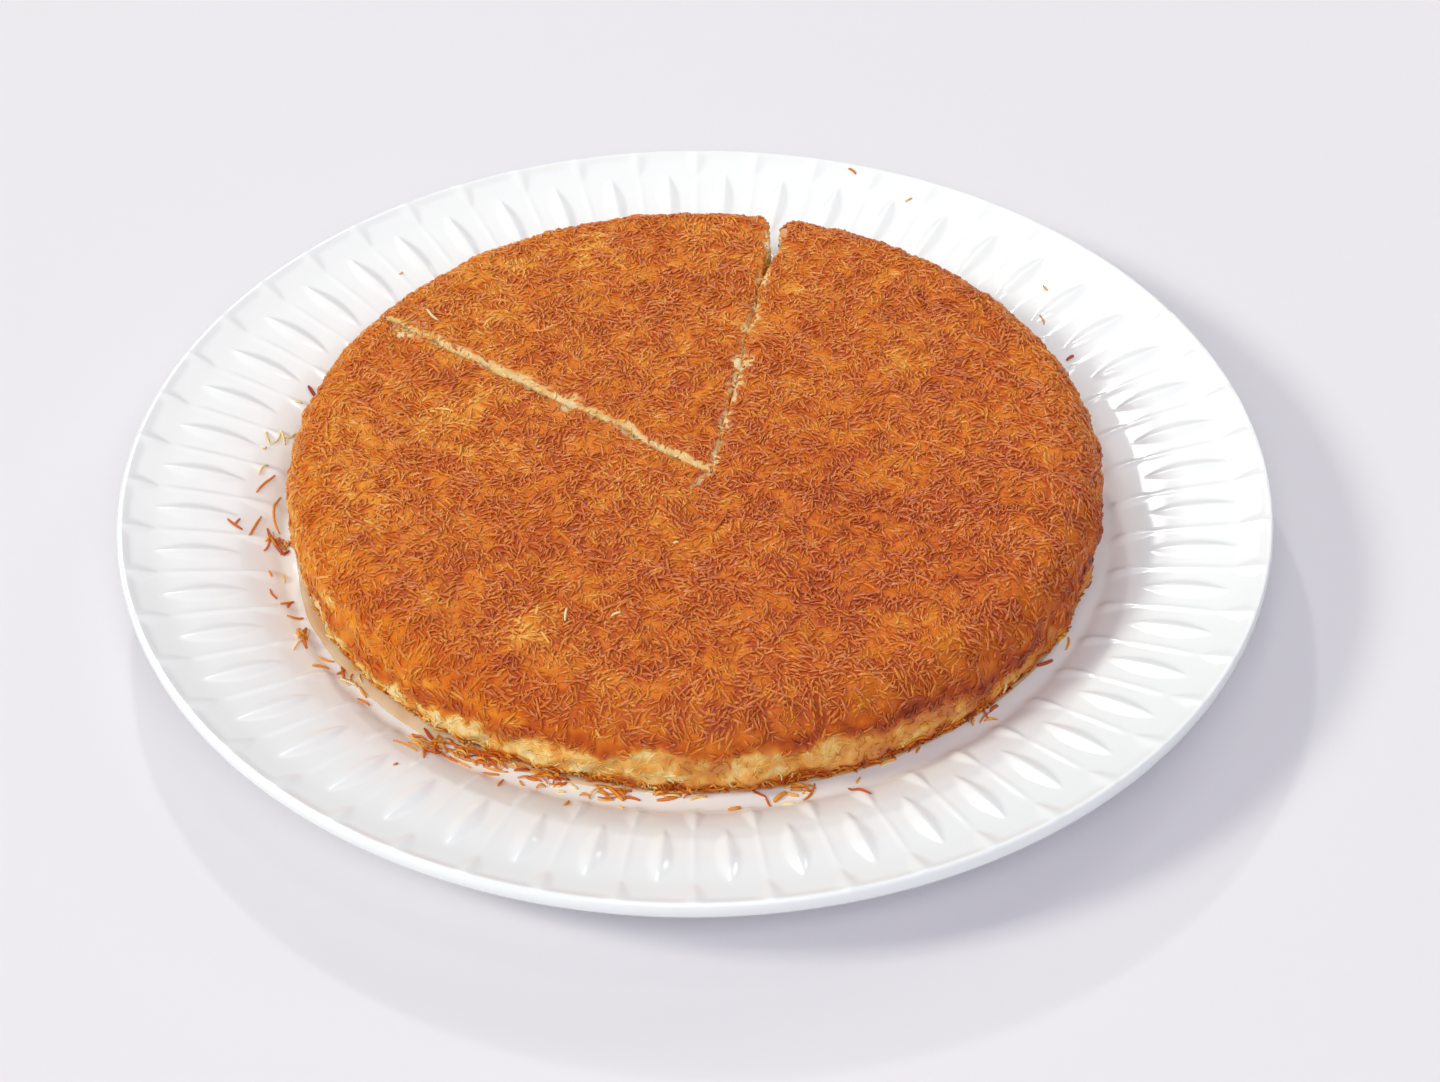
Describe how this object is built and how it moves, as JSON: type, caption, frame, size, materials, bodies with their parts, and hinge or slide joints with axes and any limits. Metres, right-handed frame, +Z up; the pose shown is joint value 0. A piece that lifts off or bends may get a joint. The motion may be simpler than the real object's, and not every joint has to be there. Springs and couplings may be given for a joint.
{
  "type": "kunafa on a plate",
  "caption": "Round baked kunafa with a browned shredded-pastry crust, one slice cut free, resting on a round white plate with an embossed rim.",
  "frame": {"origin": "middle of the plate's foot ring, in the plane it rests on", "axes": "+Z up, square to the plate; +Y away from the viewer of the picture, +X to the viewer's right"},
  "size_m": [0.3, 0.3, 0.0379],
  "materials": {
    "plate_glaze": "high gloss white glaze over an embossed rim",
    "crust": "browned shredded pastry with a light syrup sheen, pale crumb at the cuts and the foot"
  },
  "bodies": {
    "root": {"plate": "plate_glaze", "kunafa_rest": "crust", "kunafa_slice": "crust"}
  },
  "joints": []
}
